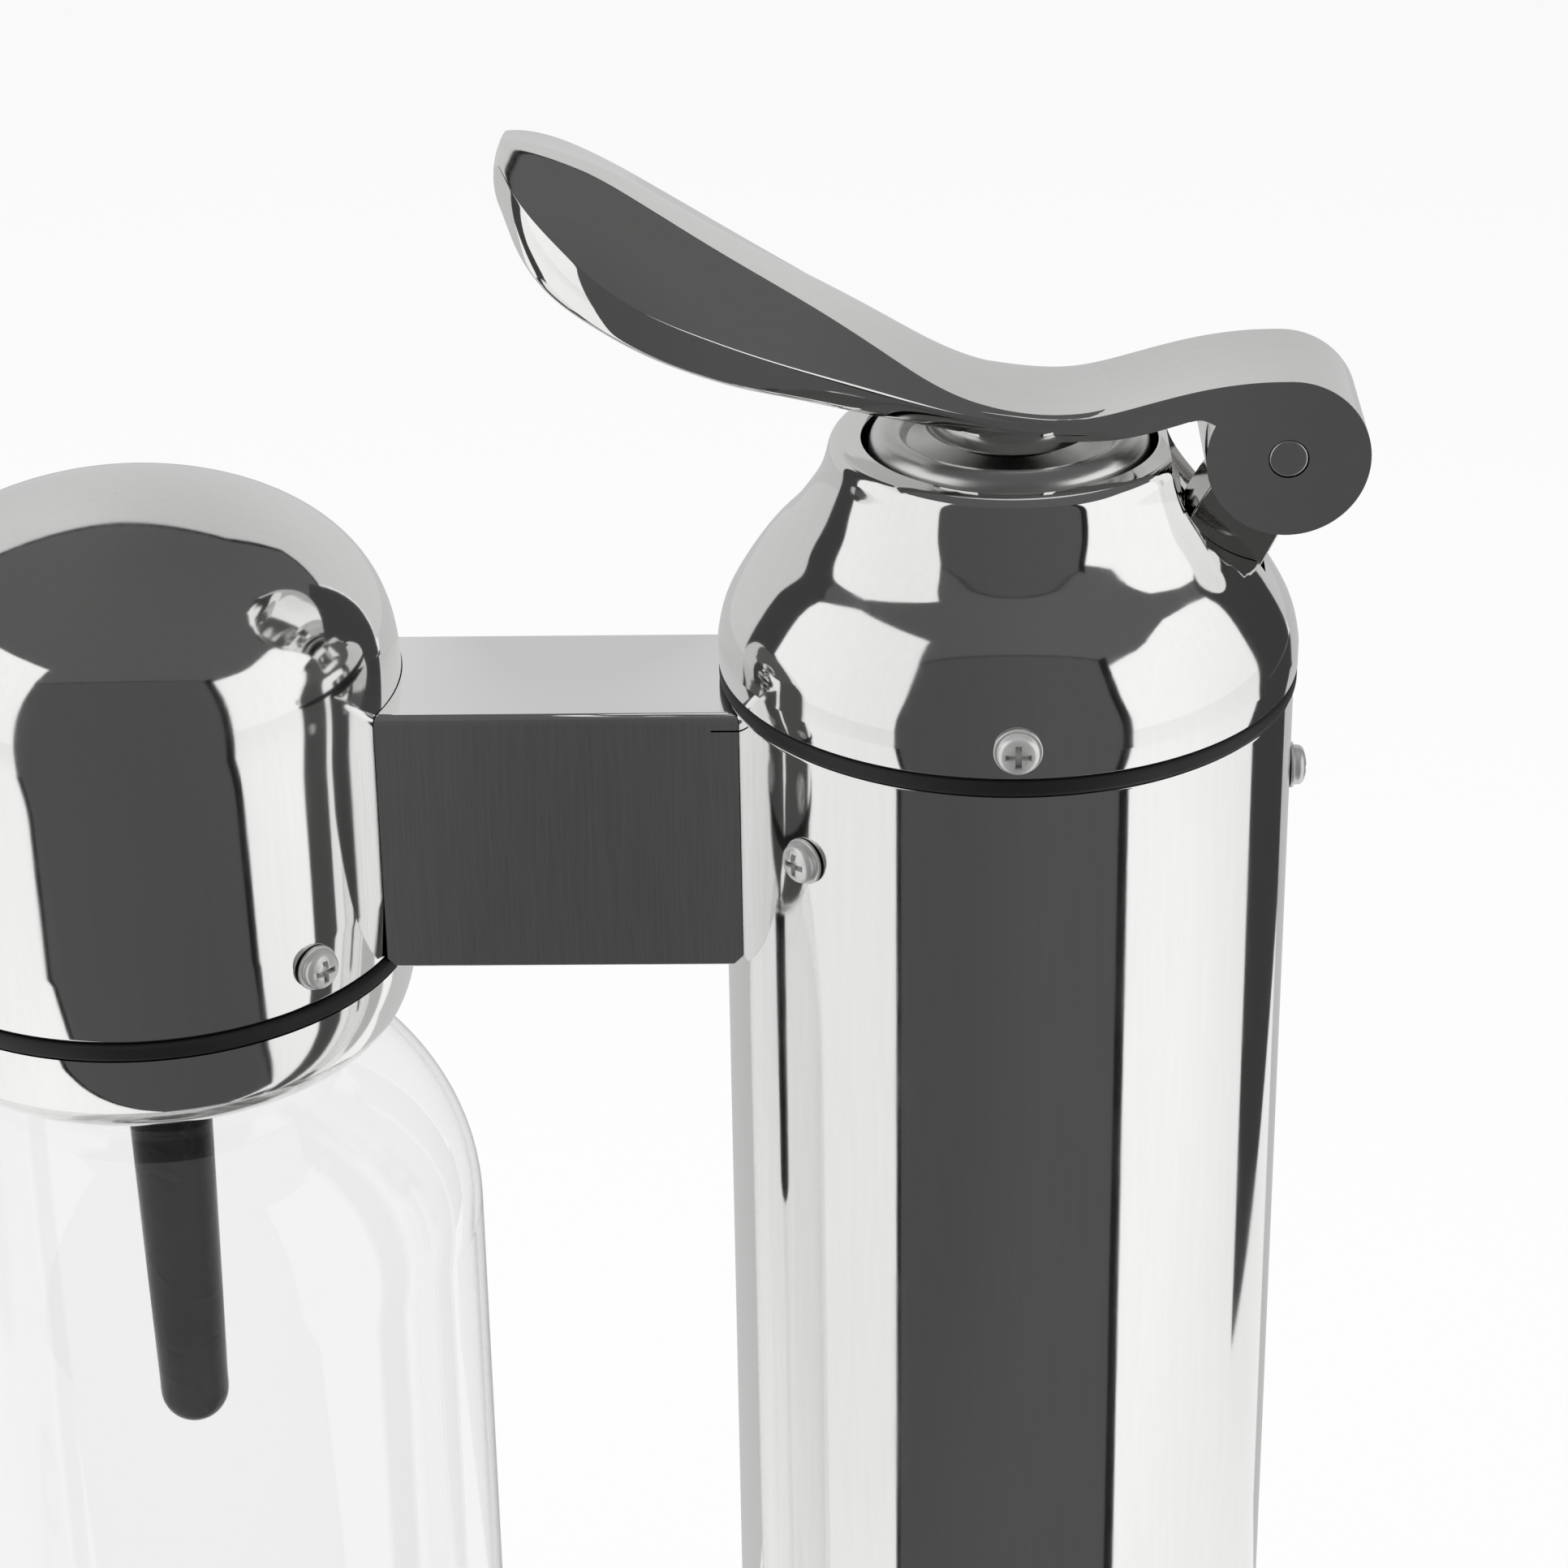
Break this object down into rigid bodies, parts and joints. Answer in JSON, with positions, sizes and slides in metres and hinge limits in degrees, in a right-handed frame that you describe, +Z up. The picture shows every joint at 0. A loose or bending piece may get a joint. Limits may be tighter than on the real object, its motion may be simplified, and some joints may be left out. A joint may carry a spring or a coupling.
{
  "type": "sparkling water maker",
  "caption": "Countertop sparkling water maker with a polished gas tower, a pivoting pressing lever, a level arm, a domed bottle head and a clear bottle.",
  "frame": {"origin": "on the table under the middle of the base, half way between the tower's axis and the bottle's axis", "axes": "+Z up; +X from the bottle towards the tower; -Y is the side that the picture shows"},
  "size_m": [0.2412, 0.124, 0.4077],
  "materials": {
    "polished_steel": "mirror polished",
    "brushed_steel": "fine vertical brushing",
    "satin_steel": "satin",
    "black_rubber": "matte",
    "black_plastic": "fine matte",
    "grey_plastic": "matte",
    "cylinder_aluminium": "satin",
    "valve_brass": "turned",
    "clear_bottle": "clear, gloss"
  },
  "bodies": {
    "frame": {"base_plate": "grey_plastic", "base_cover": "brushed_steel", "foot_1": "black_rubber", "foot_2": "black_rubber", "foot_3": "black_rubber", "foot_4": "black_rubber", "tube_locator": "black_plastic", "tower_tube": "polished_steel", "co2_cylinder": "cylinder_aluminium", "cylinder_valve": "valve_brass", "valve_block": "black_plastic", "tower_gasket": "black_rubber", "tower_cap": "polished_steel", "rod_guide": "grey_plastic", "button_spring": "satin_steel", "hinge_bracket": "polished_steel", "hinge_pin": "satin_steel", "cap_screw_1": "satin_steel", "cap_screw_2": "satin_steel", "tube_screw_1": "satin_steel", "tube_screw_2": "satin_steel", "tube_screw_3": "satin_steel", "arm_shell": "brushed_steel", "arm_floor": "brushed_steel", "arm_spine": "satin_steel", "gas_hose": "grey_plastic", "head_shell": "polished_steel", "head_block": "black_plastic", "head_gasket": "black_rubber", "head_collar": "polished_steel", "relief_valve": "valve_brass", "bottle_seal": "black_rubber", "nozzle": "black_plastic", "drip_tray": "polished_steel", "head_screw_1": "satin_steel", "head_screw_2": "satin_steel", "head_screw_3": "satin_steel"},
    "lever": {"lever": "polished_steel"},
    "button": {"push_button": "satin_steel", "push_rod": "valve_brass"},
    "bottle": {"bottle": "clear_bottle"}
  },
  "joints": [
    {"name": "lever_press", "type": "hinge", "parent": "frame", "child": "lever", "pos_m": [0.09395, 0, 0.3673], "axis": [0, -1, 0], "range_deg": [0, 6], "stiffness_Nm_per_rad": 2, "springref_deg": -8.59},
    {"name": "button_press", "type": "slide", "parent": "frame", "child": "button", "axis": [0, 0, -1], "range_m": [0, 0.0039], "stiffness_N_per_m": 800, "springref_m": -0.003, "deforming": ["button_spring"]},
    {"name": "bottle_drop", "type": "slide", "parent": "frame", "child": "bottle", "axis": [0, 0, -1], "range_m": [0, 0.042]}
  ],
  "couplings": [
    {"joint": "button_press", "follows": "lever_press", "m_per_rad": 0.036}
  ]
}
